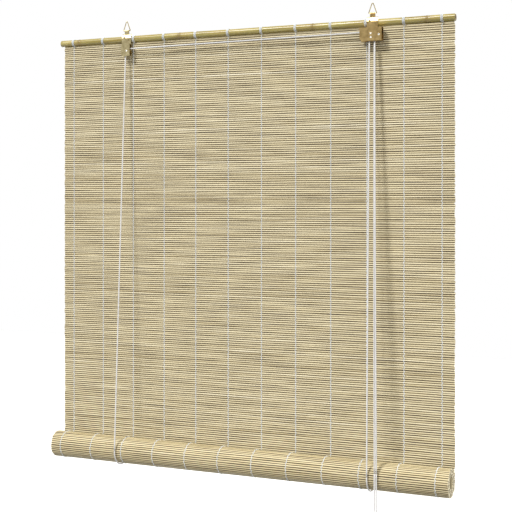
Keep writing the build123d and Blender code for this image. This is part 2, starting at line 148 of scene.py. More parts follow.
def makeLight():
    addSun("keyLight", studio["keyHeight"], studio["keyFromLeft"], studio["keyStrength"], studio["keySoftness"])
    addSun("sideLight", studio["sideHeight"], -studio["sideFromRight"], studio["sideStrength"],
           studio["sideSoftness"])
    addSun("backLight", studio["backHeight"], studio["backFromLeft"], studio["backStrength"],
           studio["sideSoftness"])
    world = bpy.data.worlds.new("studioLight")
    world.use_nodes = True
    tree = world.node_tree
    tree.nodes.clear()
    white = linear(studio["backdrop"])
    seen = addNode(tree, "ShaderNodeBackground", {"Color": white, "Strength": 1.0})
    coords = addNode(tree, "ShaderNodeTexCoord")
    parts = addNode(tree, "ShaderNodeSeparateXYZ", None, Vector=coords.outputs["Generated"])
    strength = addNode(tree, "ShaderNodeFloatCurve", None)
    level = addNode(tree, "ShaderNodeMapRange", {1: -1.0, 2: 1.0}, Value=parts.outputs["Z"])
    points = strength.mapping.curves[0].points
    points[0].location = (0.0, studio["fillBelow"])
    points[1].location = (1.0, studio["fillAbove"])
    points.new(0.5, studio["fillLevel"])
    strength.mapping.update()
    tree.links.new(level.outputs[0], strength.inputs["Value"])
    fill = addNode(tree, "ShaderNodeBackground", {"Color": white}, Strength=strength.outputs[0])
    path = addNode(tree, "ShaderNodeLightPath")
    mix = addNode(tree, "ShaderNodeMixShader", None, Fac=path.outputs["Is Camera Ray"],
                  input1=fill.outputs[0], input2=seen.outputs[0])
    addNode(tree, "ShaderNodeOutputWorld", None, Surface=mix.outputs[0])
    bpy.context.scene.world = world
    bpy.context.scene.view_settings.view_transform = "Standard"


def makeFloor():
    size = studio["floorSize"] / 2
    z = cadBox[0].z - studio["floorDrop"]
    corners = [(-size, -size, z), (size, -size, z), (size, size, z), (-size, size, z)]
    floor = meshPiece("floor", {"verts": corners, "faces": [(0, 1, 2, 3)]}, floorPaper())
    floor.visible_diffuse = False  # it is seen, but throws no light up under the blind


# mesh helpers

def newShape():
    return {"verts": [], "faces": [], "tones": [], "uvs": []}


def meshPiece(name, shape, material, smooth=False):
    mesh = bpy.data.meshes.new(name)
    mesh.from_pydata(shape["verts"], [], shape["faces"])
    if shape.get("tones"):
        tone = mesh.attributes.new("tone", "FLOAT", "POINT")
        tone.data.foreach_set("value", shape["tones"])
    if shape.get("uvs"):
        layer = mesh.uv_layers.new(name="along")
        layer.data.foreach_set("uv", [c for uv in shape["uvs"] for c in uv])
    mesh.polygons.foreach_set("use_smooth", [smooth] * len(mesh.polygons))
    mesh.materials.append(material)
    piece = bpy.data.objects.new(name, mesh)
    bpy.context.scene.collection.objects.link(piece)
    return piece


def fixNormals(piece):
    work = bmesh.new()
    work.from_mesh(piece.data)
    bmesh.ops.recalc_face_normals(work, faces=work.faces)
    work.to_mesh(piece.data)
    work.free()


def sharpenAbove(piece, degrees):
    # smooth faces, with hard edges where two faces turn by more than that
    piece.data.set_sharp_from_angle(angle=math.radians(degrees))


def place(piece, body, slotName, *nodes):
    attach(piece, body)
    if nodes:
        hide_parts(*nodes)


def skinRings(shape, rings, closedEnds=True):
    # joins rings of points, each as long as the one before it, and caps the ends
    first = len(shape["verts"])
    count = len(rings[0])
    for ring in rings:
        shape["verts"].extend(ring)
    for r in range(len(rings) - 1):
        low = first + r * count
        for k in range(count):
            after = (k + 1) % count
            shape["faces"].append((low + k, low + after, low + count + after, low + count + k))
    if closedEnds:
        shape["faces"].append(tuple(range(first + count - 1, first - 1, -1)))
        last = first + (len(rings) - 1) * count
        shape["faces"].append(tuple(range(last, last + count)))


def tubeAlong(shape, line, radius, sides, tone=0.5, withUv=False):
    # a round tube along a line of points, turned as little as it can be from point to point
    rings = []
    across = None
    travelled = 0.0
    arcs = []
    for i, point in enumerate(line):
        before = line[max(i - 1, 0)]
        after = line[min(i + 1, len(line) - 1)]
        way = (after - before).normalized()
        if across is None:
            helper = Vector((1, 0, 0)) if abs(way.x) < 0.8 else Vector((0, 1, 0))
            across = way.cross(helper).normalized()
        else:
            across = (across - way * across.dot(way)).normalized()
        other = way.cross(across)
        travelled += (point - before).length
        arcs.append(travelled)
        ring = []
        for k in range(sides):
            angle = 2 * math.pi * k / sides
            ring.append(point + (across * math.cos(angle) + other * math.sin(angle)) * radius)
        rings.append(ring)
    skinRings(shape, rings)
    shape["tones"].extend([tone] * (len(line) * sides))
    if withUv:
        for r in range(len(rings) - 1):
            for k in range(sides):
                corners = ((k, r), (k + 1, r), (k + 1, r + 1), (k, r + 1))
                shape["uvs"].extend([(a / sides, arcs[b] / radius) for a, b in corners])
        shape["uvs"].extend([(0.0, 0.0)] * (2 * sides))


def splineLine(points, resolution=8):
    # the smooth line of a NURBS spline through a route's points
    data = bpy.data.curves.new("route", "CURVE")
    data.dimensions = "3D"
    data.resolution_u = resolution
    spline = data.splines.new("NURBS")
    spline.points.add(len(points) - 1)
    for target, point in zip(spline.points, points):
        target.co = (*point, 1.0)
    spline.order_u = 3
    spline.use_endpoint_u = True
    holder = bpy.data.objects.new("route", data)
    bpy.context.scene.collection.objects.link(holder)
    bpy.context.view_layer.update()
    mesh = bpy.data.meshes.new_from_object(holder)
    line = [v.co.copy() for v in mesh.vertices]
    bpy.data.objects.remove(holder)
    bpy.data.meshes.remove(mesh)
    bpy.data.curves.remove(data)
    return line


def waver(rng, longest, count=4):
    # a gentle uneven wave between about -1 and 1 along X, its longest swing in metres
    parts = []
    for i in range(count):
        swing = 1 / (i + 1)
        pace = 2 * math.pi * (i + 1) * rng.uniform(0.7, 1.3) / longest
        parts.append((swing, pace, rng.uniform(0, 6.28)))
    total = sum(swing for swing, _, _ in parts) * 0.7  # the swings hardly ever all meet
    return lambda x: sum(a * math.sin(k * x + turn) for a, k, turn in parts) / total


# materials

def newMaterial(name):
    material = bpy.data.materials.new(name)
    material.use_nodes = True
    tree = material.node_tree
    tree.nodes.clear()
    shader = addNode(tree, "ShaderNodeBsdfPrincipled")
    addNode(tree, "ShaderNodeOutputMaterial", None, Surface=shader.outputs[0])
    return material, tree, shader


def ramp(node, stops):
    # colour stops as (place, hex)
    band = node.color_ramp
    while len(band.elements) < len(stops):
        band.elements.new(0.5)
    for element, (where, colour) in zip(band.elements, stops):
        element.position = where
        element.color = linear(colour)
    return node


def floorPaper():
    # matt white background paper: one even pale tone with the faintest cloudiness
    material, tree, shader = newMaterial("backgroundPaper")
    coords = addNode(tree, "ShaderNodeTexCoord")
    cloud = addNode(tree, "ShaderNodeTexNoise", {"Scale": 0.8}, Vector=coords.outputs["Object"])
    colours = ramp(addNode(tree, "ShaderNodeValToRGB", None, Fac=cloud.outputs["Fac"]),
                   [(0.3, "#f4f4f3"), (0.7, "#f8f8f7")])
    tree.links.new(colours.outputs[0], shader.inputs["Base Color"])
    shader.inputs["Roughness"].default_value = 0.9
    return material


bambooLook = {
    "matStops": [(0.0, "#33260c"), (0.24, "#836d3e"), (0.5, "#cbbc94"), (0.75, "#ddd0ab"), (1.0, "#f4ebd2")],
    "rollStops": [(0.0, "#33260c"), (0.24, "#836b3a"), (0.5, "#cbba8e"), (0.75, "#ddcfa6"), (1.0, "#f4ebd0")],
    "fibreWidth": 1.1,  # mm across; real fibres are a third of that, drawn as coarse as shows
    "fibreLength": 60.0,  # mm along the slat
    "fleckLength": 14.0,
    "roughness": (0.48, 0.68),
}


def splitBamboo(name, stops, lift=0.0):
    # bamboo split into sticks and sanded: pale greyish straw, matt, with long fibres and flecks,
    # and a tone for each stick that also carries painted shade at the stick's edges
    material, tree, shader = newMaterial(name)
    look = bambooLook
    coords = addNode(tree, "ShaderNodeTexCoord")
    along = 1 / (look["fibreLength"] * mm)
    across = 1 / (look["fibreWidth"] * mm)
    stretched = addNode(tree, "ShaderNodeMapping", {"Scale": (along, across, across)},
                        Vector=coords.outputs["Object"])
    fibres = addNode(tree, "ShaderNodeTexNoise", {"Scale": 1.0, "Detail": 3.0},
                     Vector=stretched.outputs[0])
    fleckSpace = addNode(tree, "ShaderNodeMapping", {"Scale": (1 / (look["fleckLength"] * mm), 260.0, 260.0)},
                         Vector=coords.outputs["Object"])
    flecks = addNode(tree, "ShaderNodeTexNoise", {"Scale": 1.0, "Detail": 2.0},
                     Vector=fleckSpace.outputs[0])
    # painted shade: this tone darkens the colour in the grooves between sticks
    stickToneAndShade = addNode(tree, "ShaderNodeAttribute", {"attribute_name": "tone"})
    share = addNode(tree, "ShaderNodeMath", {"operation": "MULTIPLY_ADD", 1: 0.45, 2: -0.22 + lift},
                    input0=fibres.outputs["Fac"])
    tone = addNode(tree, "ShaderNodeMath", {"operation": "ADD"},
                   input0=stickToneAndShade.outputs["Fac"], input1=share.outputs[0])
    colours = ramp(addNode(tree, "ShaderNodeValToRGB", None, Fac=tone.outputs[0]), stops)
    mask = ramp(addNode(tree, "ShaderNodeValToRGB", None, Fac=flecks.outputs["Fac"]),
                [(0.62, "#000000"), (0.74, "#8a8a8a")])
    mixed = addNode(tree, "ShaderNodeMix", {"data_type": "RGBA", "blend_type": "MULTIPLY", 7: linear("#b7a27a")},
                    input0=mask.outputs[0], input6=colours.outputs[0])
    tree.links.new(mixed.outputs[2], shader.inputs["Base Color"])
    low, high = look["roughness"]
    rough = addNode(tree, "ShaderNodeMapRange", {3: low, 4: high}, Value=fibres.outputs["Fac"])
    tree.links.new(rough.outputs[0], shader.inputs["Roughness"])
    bump = addNode(tree, "ShaderNodeBump", {"Strength": 0.35, "Distance": 0.0003},
                   Height=fibres.outputs["Fac"])
    tree.links.new(bump.outputs[0], shader.inputs["Normal"])
    shader.inputs["IOR"].default_value = 1.5
    return material


def caneSkin():
    # whole cane with its waxy skin: green-yellow, soft gloss, long pale streaks
    # and brown blushes at the growth rings, with the same brown painted inside the hollow ends as shade
    material, tree, shader = newMaterial("caneSkin")
    coords = addNode(tree, "ShaderNodeTexCoord")
    stretched = addNode(tree, "ShaderNodeMapping", {"Scale": (18.0, 420.0, 420.0)},
                        Vector=coords.outputs["Object"])
    streaks = addNode(tree, "ShaderNodeTexNoise", {"Scale": 1.0, "Detail": 4.0},
                      Vector=stretched.outputs[0])
    colours = ramp(addNode(tree, "ShaderNodeValToRGB", None, Fac=streaks.outputs["Fac"]),
                   [(0.25, "#836f38"), (0.45, "#a09152"), (0.6, "#b1a56a"), (0.8, "#cac194")])
    patchSpace = addNode(tree, "ShaderNodeMapping", {"Scale": (14.0, 60.0, 60.0)},
                         Vector=coords.outputs["Object"])
    patches = addNode(tree, "ShaderNodeTexNoise", {"Scale": 1.0, "Detail": 2.0},
                      Vector=patchSpace.outputs[0])
    green = ramp(addNode(tree, "ShaderNodeValToRGB", None, Fac=patches.outputs["Fac"]),
                 [(0.35, "#e4e3bc"), (0.65, "#fff4dc")])
    tinted = addNode(tree, "ShaderNodeMix", {"data_type": "RGBA", "blend_type": "MULTIPLY", 0: 0.7},
                     input6=colours.outputs[0], input7=green.outputs[0])
    # this tone mixes in brown for the growth-ring blush and as painted shade inside the bore
    blushAndBoreShade = addNode(tree, "ShaderNodeAttribute", {"attribute_name": "tone"})
    ringedAndBoreShaded = addNode(tree, "ShaderNodeMix", {"data_type": "RGBA", "blend_type": "MIX", 7: linear("#7d6534")},
                     input0=blushAndBoreShade.outputs["Fac"], input6=tinted.outputs[2])
    tree.links.new(ringedAndBoreShaded.outputs[2], shader.inputs["Base Color"])
    rough = addNode(tree, "ShaderNodeMapRange", {3: 0.22, 4: 0.38}, Value=patches.outputs["Fac"])
    tree.links.new(rough.outputs[0], shader.inputs["Roughness"])
    bump = addNode(tree, "ShaderNodeBump", {"Strength": 0.25, "Distance": 0.0003},
                   Height=streaks.outputs["Fac"])
    tree.links.new(bump.outputs[0], shader.inputs["Normal"])
    shader.inputs["IOR"].default_value = 1.5
    return material


def warpCotton():
    # twisted cotton yarn, bleached: cool white, matt, with the twist's fine ridges, and a little grey painted
    # shade in the grooves between them
    material, tree, shader = newMaterial("twistedCotton")
    coords = addNode(tree, "ShaderNodeTexCoord")
    turned = addNode(tree, "ShaderNodeMapping", {"Rotation": (0, 0.7, 0.7)}, Vector=coords.outputs["Object"])
    twist = addNode(tree, "ShaderNodeTexWave", {"Scale": 700.0, "Distortion": 2.0},
                    Vector=turned.outputs[0])
    # painted shade: the colour is greyer in the twist's grooves
    colours = ramp(addNode(tree, "ShaderNodeValToRGB", None, Fac=twist.outputs["Fac"]),
                   [(0.1, "#c8ccce"), (0.7, "#e9ecec")])
    tree.links.new(colours.outputs[0], shader.inputs["Base Color"])
    bump = addNode(tree, "ShaderNodeBump", {"Strength": 0.5, "Distance": 0.0002},
                   Height=twist.outputs["Fac"])
    tree.links.new(bump.outputs[0], shader.inputs["Normal"])
    shader.inputs["Roughness"].default_value = 0.85
    shader.inputs["Sheen Weight"].default_value = 0.3
    return material


def braidedCord():
    # braided white polyester: crossing bundles of yarn with a soft shine, and grey painted shade in the hollows
    # between them
    material, tree, shader = newMaterial("braidedPolyester")
    uv = addNode(tree, "ShaderNodeUVMap", {"uv_map": "along"})
    parts = addNode(tree, "ShaderNodeSeparateXYZ", None, Vector=uv.outputs[0])
    waves = []
    for side in (1, -1):
        turns = addNode(tree, "ShaderNodeMath", {"operation": "MULTIPLY", 1: 6.2832 * 4 * side},
                        input0=parts.outputs[0])
        both = addNode(tree, "ShaderNodeMath", {"operation": "MULTIPLY_ADD", 1: 3.2},
                       input0=parts.outputs[1], input2=turns.outputs[0])
        wave = addNode(tree, "ShaderNodeMath", {"operation": "SINE"}, input0=both.outputs[0])
        waves.append(wave)
    braid = addNode(tree, "ShaderNodeMath", {"operation": "MULTIPLY"},
                    input0=waves[0].outputs[0], input1=waves[1].outputs[0])
    height = addNode(tree, "ShaderNodeMapRange", {1: -1.0, 2: 1.0}, Value=braid.outputs[0])
    # painted shade: the hollows of the braid are painted grey, the crowns white
    colours = ramp(addNode(tree, "ShaderNodeValToRGB", None, Fac=height.outputs[0]),
                   [(0.0, "#b3b1ad"), (0.35, "#d6d4d1"), (1.0, "#e9e7e5")])
    tree.links.new(colours.outputs[0], shader.inputs["Base Color"])
    bump = addNode(tree, "ShaderNodeBump", {"Strength": 0.6, "Distance": 0.0003},
                   Height=height.outputs[0])
    tree.links.new(bump.outputs[0], shader.inputs["Normal"])
    shader.inputs["Roughness"].default_value = 0.55
    shader.inputs["Sheen Weight"].default_value = 0.2
    return material


def platedMetal(name, colours, roughness, scratchDepth):
    # thin bright plating on pressed steel: rolling marks, cloudy patches and a little wear in the gloss
    material, tree, shader = newMaterial(name)
    coords = addNode(tree, "ShaderNodeTexCoord")
    clouds = addNode(tree, "ShaderNodeTexNoise", {"Scale": 160.0, "Detail": 4.0},
                     Vector=coords.outputs["Object"])
    tinted = ramp(addNode(tree, "ShaderNodeValToRGB", None, Fac=clouds.outputs["Fac"]), colours)
    rolled = addNode(tree, "ShaderNodeMapping", {"Scale": (300.0, 300.0, 2400.0)},
                     Vector=coords.outputs["Object"])
    marks = addNode(tree, "ShaderNodeTexNoise", {"Scale": 1.0, "Detail": 2.0},
                    Vector=rolled.outputs[0])
    tree.links.new(tinted.outputs[0], shader.inputs["Base Color"])
    rough = addNode(tree, "ShaderNodeMapRange", {3: roughness[0], 4: roughness[1]},
                    Value=clouds.outputs["Fac"])
    tree.links.new(rough.outputs[0], shader.inputs["Roughness"])
    bump = addNode(tree, "ShaderNodeBump", {"Strength": scratchDepth, "Distance": 0.0001},
                   Height=marks.outputs["Fac"])
    tree.links.new(bump.outputs[0], shader.inputs["Normal"])
    shader.inputs["Metallic"].default_value = 1.0
    return material


# cords

cordSizes = {
    "diameter": 0.0026,
    "sides": 12,
    "overlap": 0.0005,  # how far a stretch runs into the next one
    "wheelArc": 0.0038,  # the left cord's turn over its wheel
    "rollerArc": 0.003,
    "crossHeight": -0.0508,  # over the lock's roller
    "crossHeightLeft": -0.0532,  # where the left cord leaves its wheel
    "rollerSide": 0.2547,
    "depth": {"left": -0.00585, "right": -0.00885},
    "leave": {"left": 0.2568, "right": 0.2586},
    "pullUpper": {
        "left": [(0.2568, -0.00585, -0.0675), (0.2596, -0.0165, -0.257), (0.2669, -0.0379, -0.637),
                 (0.2707, -0.04845, -0.8245)],
        "right": [(0.2586, -0.00885, -0.0675), (0.2618, -0.0188, -0.257), (0.2700, -0.0386, -0.637),
                  (0.2741, -0.04845, -0.8245)],
    },
    "hankRun": 0.039,  # straight part of a turn
    "hankInner": 0.0078,  # radius of the innermost fold
    "hankOuter": 0.0133,
    "hankStep": 0.00275,  # from one layer to the next
    "hankLayers": 3,
    "turnsInLayer": 2,
    "pointsPerTurn": 16,
    "layerStep": 0.3,  # share of a layer over which the cord steps to the next one
    "straightPoints": 60,
    "loopPoints": 32,
    "upperKnotSwing": (0.0017, 0.0002),  # radius of the knot's turns, and how far it varies
    "upperKnotDepth": 0.0009,
    "upperKnotCord": 0.00115,  # the cord is pulled thin in a knot
    "upperKnotPoints": 48,
    "endKnotReach": (0.001116, 0.0012, 0.001144),  # half sizes across, in depth and in height
    "endKnotLobe": 1.1,
    "endKnotPoints": 72,
    "pulledThin": 0.9,  # share of its radius that a tied cord keeps
    "tieCorner": 0.38,  # lower is squarer
    "tiePoints": 96,
}


def cordTube(name, line):
    shape = newShape()
    tubeAlong(shape, line, cordSizes["diameter"] / 2, cordSizes["sides"], withUv=True)
    return meshPiece(name, shape, cordMaterial, smooth=True)


def middleOf(node):
    low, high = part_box(node)
    return (low + high) / 2


def lineBetween(start, end, count):
    return [start.lerp(end, i / (count - 1)) for i in range(count)]


def liftCords():
    radius = cordSizes["diameter"] / 2
    for name in ("left", "right"):
        low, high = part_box(f"{name}_cord_front_run")
        start = Vector((low.x + radius, high.y - radius, high.z))
        end = Vector((high.x - radius, low.y + radius, low.z))
        past = (end - start).normalized() * cordSizes["overlap"]
        front = cordTube(f"{name}LiftCordFront", lineBetween(start, end + past, cordSizes["straightPoints"]))
        place(front, "head", "cord", f"{name}_cord_front_run")
        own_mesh(front)
        low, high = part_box(f"{name}_cord_back_run")
        start = (low + high) / 2
        start.z = high.z + cordSizes["overlap"]
        end = Vector((start.x, start.y, low.z - cordSizes["overlap"]))
        back = cordTube(f"{name}LiftCordBack", lineBetween(start, end, cordSizes["straightPoints"]))
        place(back, "head", "cord", f"{name}_cord_back_run")
        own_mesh(back)
        low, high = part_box(f"{name}_cord_loop")
        loopRadius = high.y - radius - rollMiddle.y
        frontTop = high.z - rollMiddle.z
        startAngle = math.pi - math.asin(frontTop / loopRadius)
        line = []
        count = cordSizes["loopPoints"]
        for i in range(count + 1):
            angle = startAngle + (2 * math.pi - startAngle) * i / count
            y = rollMiddle.y + loopRadius * math.cos(angle)
            line.append(Vector(((low.x + high.x) / 2, y, rollMiddle.z + loopRadius * math.sin(angle))))
        loop = cordTube(f"{name}CordLoop", line)
        place(loop, "lift_loops", "cord", f"{name}_cord_loop")


def quarterOver(middle, reach, first, last):
    # points on an arc in the XZ plane, its angles in degrees from +X
    line = []
    for i in range(9):
        angle = math.radians(first + (last - first) * i / 8)
        line.append(middle + Vector((math.cos(angle), 0, math.sin(angle))) * reach)
    return line


def headCords():
    # each cord's stretch in the head, over the wheel or the roller and out below the lock
    radius = cordSizes["diameter"] / 2
    overArc = cordSizes["rollerArc"]
    for name, arc, height in (("left", cordSizes["wheelArc"], cordSizes["crossHeightLeft"]),
                              ("right", overArc, cordSizes["crossHeight"])):
        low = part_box(f"{name}_cord_in_head")[0]
        y = cordSizes["depth"][name]
        x = low.x + radius
        bottom = low.z - cordSizes["overlap"]
        middle = Vector((x + arc, y, height - arc))
        line = lineBetween(Vector((x, y, bottom)), Vector((x, y, height - arc)), 5)[:-1]
        line += quarterOver(middle, arc, 180, 90)
        middle = Vector((cordSizes["rollerSide"] - overArc, y, cordSizes["crossHeight"] - overArc))
        turned = quarterOver(middle, overArc, 90, -6)
        if (turned[0] - line[-1]).length > 0.01:
            line += lineBetween(line[-1], turned[0], 40)[1:-1]
        line += turned
        line += lineBetween(line[-1], Vector((cordSizes["leave"][name], y, bottom)), 5)[1:]
        piece = cordTube(f"{name}CordInHead", line)
        place(piece, "head", "cord", f"{name}_cord_in_head")


def cordEnds():
    # behind the pole each cord steps back to its tack and ends in a knot
    low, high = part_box("cord_ends")
    knotLow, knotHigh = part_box("cord_end_knots")
    radius = cordSizes["diameter"] / 2
    shape = newShape()
    knots = newShape()
    for name in ("left", "right"):
        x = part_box(f"{name}_cord_back_run")[0].x + radius
        near = low.y + radius
        far = high.y - radius
        points = [(x, near, low.z), (x, near, low.z + 0.005), (x, near + 0.0005, low.z + 0.008),
                  (x, far - 0.0005, low.z + 0.015), (x, far, low.z + 0.018), (x, far, high.z)]
        tubeAlong(shape, splineLine(points), radius, cordSizes["sides"], withUv=True)
        middle = Vector((x, (knotLow.y + knotHigh.y) / 2, (knotLow.z + knotHigh.z) / 2))
        line = []
        count = cordSizes["upperKnotPoints"]
        swingBase, swingMore = cordSizes["upperKnotSwing"]
        for i in range(count + 1):
            angle = 2 * math.pi * 2 * i / count
            swing = swingBase + swingMore * math.sin(3 * angle)
            line.append(middle + Vector((swing * math.cos(angle),
                                         cordSizes["upperKnotDepth"] * math.sin(1.5 * angle),
                                         swing * math.sin(angle))))
        tubeAlong(knots, line, cordSizes["upperKnotCord"], 10, withUv=True)
    piece = meshPiece("cordUpperEnds", shape, cordMaterial, smooth=True)
    place(piece, "head", "cord", "cord_ends")
    piece = meshPiece("cordUpperKnots", knots, cordMaterial, smooth=True)
    place(piece, "head", "cord", "cord_end_knots")


def hankPoints(side, y, middleZ):
    # folded turns from the outside in, back out and in again, each layer beside the last
    run = cordSizes["hankRun"]
    inner, outer = cordSizes["hankInner"], cordSizes["hankOuter"]
    perTurn = cordSizes["pointsPerTurn"]
    layers, turns = cordSizes["hankLayers"], cordSizes["turnsInLayer"]
    points = []
    for i in range(layers * turns * perTurn):
        turn = (i + 0.5) / perTurn
        depth = turn / turns
        inward = abs((depth + 1) % 2 - 1)
        fold = outer - (outer - inner) * inward
        near = min(max(round(depth), 1), layers - 1)
        share = min(max((depth - near) / cordSizes["layerStep"] + 0.5, 0.0), 1.0)
        layer = near - 0.5 + share * share * (3 - 2 * share)
        angle = -2 * math.pi * turn
        up = math.copysign(run / 2, math.sin(angle))
        points.append((pullMiddle.x + side * fold * math.cos(angle), y + side * cordSizes["hankStep"] * layer,
                       middleZ + up + fold * math.sin(angle)))
    return points


def pullCords():
    diameter = cordSizes["diameter"]
    hankLow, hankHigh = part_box("cord_hank")
    tailLow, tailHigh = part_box("pull_cord_tails")
    middleZ = (hankLow.z + hankHigh.z) / 2
    knot = knotPiece()
    tie = tiePiece()
    for name, side in (("left", -1), ("right", 1)):
        points = cordSizes["pullUpper"][name]
        line = splineLine(points, 20)
        upper = cordTube(f"{name}PullCordUpper", line)
        place(upper, "head", "cord", f"{name}_pull_cord_upper")
        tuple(points[0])
        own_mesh(upper)
        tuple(points[0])
        sum((b - a).length for a, b in zip(line, line[1:]))
        [tuple(p) for p in line]
        x, y, z = points[-1]
        out = pullMiddle.x + side * cordSizes["hankOuter"]
        inside = pullMiddle.x + side * cordSizes["hankInner"]
        tailX = pullMiddle.x + side * (tailHigh.x - tailLow.x - diameter) / 2
        first = y + side * cordSizes["hankStep"] / 2
        lastLayer = y + side * cordSizes["hankStep"] * (cordSizes["hankLayers"] - 0.5)
        route = [(x, y, z + 0.0008), (x, y, z - 0.025), (x, y, hankHigh.z + 0.025), (x, y, hankHigh.z + 0.007),
                 (out - side * 0.004, first, hankHigh.z - 0.005), (out, first, hankHigh.z - 0.015)]
        route += hankPoints(side, y, middleZ)
        route += [(inside, lastLayer, middleZ + 0.01), (inside, lastLayer, middleZ - 0.01),
                  (inside - side * 0.002, lastLayer + side * 0.0012, middleZ - 0.022),
                  (tailX + side * 0.001, lastLayer + side * 0.0012, hankLow.z - 0.002),
                  (tailX, y + side * 0.003, hankLow.z - 0.012), (tailX, y, tailLow.z + 0.006),
                  (tailX, y, tailLow.z)]
        line = splineLine(route)
        lower = cordTube(f"{name}PullCordLower", line)
        shared = ["cord_hank", "pull_cord_tails"] if name == "left" else []
        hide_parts(f"{name}_pull_cord_lower", *shared)
        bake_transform(lower)
        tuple(route[0])
        sum((b - a).length for a, b in zip(line, line[1:]))
        [tuple(p) for p in line]


def knotPiece():
    # both cords joined in one overhand knot
    low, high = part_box("end_knot")
    middle = (low + high) / 2
    shape = newShape()
    line = []
    count = cordSizes["endKnotPoints"]
    across, deep, tall = cordSizes["endKnotReach"]
    lobe = cordSizes["endKnotLobe"]
    for i in range(count + 1):
        angle = 2 * math.pi * i / count
        line.append(middle + Vector((across * (math.sin(angle) + lobe * math.sin(2 * angle)),
                                     deep * math.sin(3 * angle),
                                     tall * (math.cos(angle) - lobe * math.cos(2 * angle)))))
    tubeAlong(shape, line, cordSizes["diameter"] / 2 * cordSizes["pulledThin"], 12, withUv=True)
    piece = meshPiece("cordEndKnot", shape, cordMaterial, smooth=True)
    place(piece, "pull_end", "cord", "end_knot")
    return piece


def tiePiece():
    # a short end of the same cord wound twice round the hank
    low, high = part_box("hank_tie")
    middle = (low + high) / 2
    radius = cordSizes["diameter"] / 2
    thin = radius * cordSizes["pulledThin"]
    halfX = (high.x - low.x) / 2 - thin
    halfY = (high.y - low.y) / 2 - thin
    line = []
    count = cordSizes["tiePoints"]
    for i in range(2 * count + 1):
        angle = 2 * math.pi * i / count
        c, s = math.cos(angle), math.sin(angle)
        power = cordSizes["tieCorner"]
        x = halfX * math.copysign(abs(c) ** power, c)
        y = halfY * math.copysign(abs(s) ** power, s)
        z = radius * (i / count - 1)
        line.append(middle + Vector((x, y, z)))
    shape = newShape()
    tubeAlong(shape, line, thin, 10, withUv=True)
    piece = meshPiece("hankTie", shape, cordMaterial, smooth=True)
    place(piece, "pull_end", "cord", "hank_tie")
    return piece


# mat

matSizes = {
    "pitch": 0.0039,
    "slatHeight": 0.0034,
    "thickness": 0.002,
    "stations": 25,
    "shoulder": 0.00062,  # how far the front edges stand in from the slat's full height
    "shoulderSpread": 0.00032,
    "edgeSoft": 0.0003,
    "web": 0.0005,  # neighbouring slats touch over this much of their thickness
    "webReach": 0.0002,  # and press into each other by this much, so no light shows between them
    "endLength": 0.0003,  # the cut end's pale band
    "headReach": 0.0016,  # the first slat runs up under the pole
    "wander": 0.00016,  # how far a slat strays from straight
    "endSpread": 0.0016,  # slats are cut up to this much short of the mat's edge
    "seed": 11,
    "rollTurns": 6.5,
    "rollStep": 0.0023,
    "rollThickness": 0.0017,
    "strandRadius": 0.00068,
    "strandApart": 0.0012,
    "warpLines": 12,
}


def slatRing(topIn, bottomIn, half, thickness):
    # a slat's section as (up, back, painted shade): two crowned faces, with edges painted dark as shade where
    # they draw in to a thin web
    edge = thickness / 2
    soft = matSizes["edgeSoft"]
    web = matSizes["web"] / 2
    reach = half + matSizes["webReach"]
    # the third number is painted shade: 0 on the faces, up to 1 in the grooves between sticks
    side = [(half - topIn, edge - 0.0003, 0.85), (half - topIn - soft, edge, 0.0), (0.0, edge + 0.0001, 0.0),
            (-half + bottomIn + soft, edge, 0.0), (-half + bottomIn, edge - 0.0003, 0.9), (-half, 2 * web, 1.0),
            (-reach, web, 1.0)]
    front = [(up, -back, grooveShade) for up, back, grooveShade in side]
    top = [(half, 2 * web, 1.0), (reach, web, 1.0), (reach, -web, 1.0), (half, -2 * web, 1.0)]
    return front + side[::-1] + top


def slatTones(rng, count):
    # neighbouring sticks differ, and a few are much darker or paler
    tones = []
    for _ in range(count):
        tone = rng.gauss(0.64, 0.055)
        if rng.random() < 0.05:
            tone -= 0.14
        tones.append(min(max(tone, 0.05), 0.98))
    return tones


def addSlat(shape, rng, placeAt, tone, thickness, stations):
    # placeAt turns (x, up, back) into a point of the frame
    left = matEdge[0] + rng.uniform(0, matSizes["endSpread"])
    right = matEdge[1] - rng.uniform(0, matSizes["endSpread"])
    drift = waver(rng, 0.5)
    topWave = waver(rng, 0.22)
    bottomWave = waver(rng, 0.22)
    toneWave = waver(rng, 0.3)
    half = matSizes["pitch"] / 2 - 0.00003
    base = matSizes["shoulder"]
    spread = matSizes["shoulderSpread"]
    topBase = base + rng.uniform(-0.15, 0.2) * spread
    bottomBase = base + rng.uniform(-0.15, 0.25) * spread
    rings = []
    places = [left + (right - left) * i / (stations - 1) for i in range(stations)]
    cut = matSizes["endLength"]
    for x in [left, left + cut] + places[1:-1] + [right - cut, right]:
        topIn = max(topBase + spread * topWave(x), 0.0001)
        bottomIn = max(bottomBase + spread * bottomWave(x), 0.0001)
        shift = matSizes["wander"] * drift(x)
        section = slatRing(topIn, bottomIn, half, thickness)
        rings.append([placeAt(x, up + shift, back) for up, back, _ in section])
        here = tone + 0.05 * toneWave(x)
        if x in (left, right):
            shape["tones"].extend([0.9] * len(section))
        else:
            # painted shade: the stick's tone falls towards black at its edges and web, as shade in the grooves
            # between sticks
            shape["tones"].extend([here * (1 - grooveShade) for _, _, grooveShade in section])
    skinRings(shape, rings)


